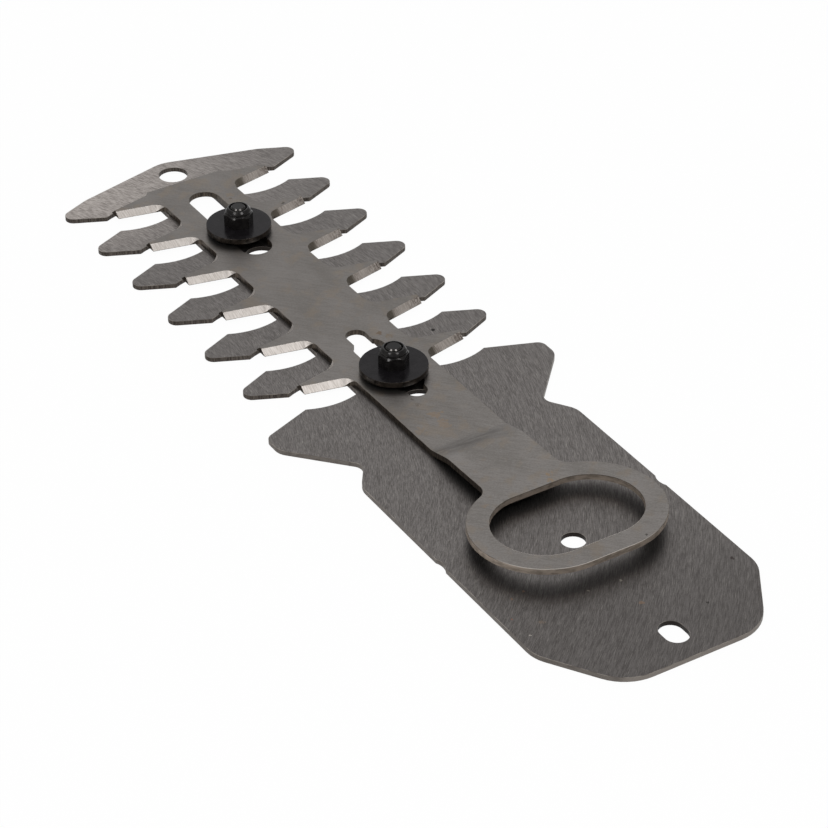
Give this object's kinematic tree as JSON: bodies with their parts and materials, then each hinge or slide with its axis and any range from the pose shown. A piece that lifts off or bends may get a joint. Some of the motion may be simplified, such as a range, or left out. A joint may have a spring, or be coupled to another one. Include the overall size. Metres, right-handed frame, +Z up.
{
  "type": "hedge trimmer blade",
  "caption": "Cutter of a hand-held hedge trimmer: a fixed toothed plate with a toothed blade sliding on it under guide washers, driven through an oval yoke.",
  "frame": {"origin": "centre of the round drive hole at the underside of the fixed plate", "axes": "+Y along the blade to its tip, +X to the right seen from above, +Z up through the plate"},
  "size_m": [0.08, 0.2536, 0.0103],
  "materials": {
    "plate_steel": "blanked spring steel, brushed",
    "blade_steel": "blanked spring steel, ground tooth bevels",
    "bolt_steel": "turned steel",
    "bush_steel": "turned steel",
    "black_oxide": "black oxide, oiled",
    "ring_plastic": "nylon"
  },
  "bodies": {
    "plate": {"lower_blade": "plate_steel", "front_stud": "bolt_steel", "front_bush": "bush_steel", "front_washer": "black_oxide", "front_nut": "black_oxide", "front_locking_ring": "ring_plastic", "rear_stud": "bolt_steel", "rear_bush": "bush_steel", "rear_washer": "black_oxide", "rear_nut": "black_oxide", "rear_locking_ring": "ring_plastic"},
    "blade": {"upper_blade": "blade_steel"}
  },
  "joints": [
    {"name": "blade_slide", "type": "slide", "parent": "plate", "child": "blade", "axis": [0, 1, 0], "range_m": [-0.0123, 0.0053]}
  ]
}
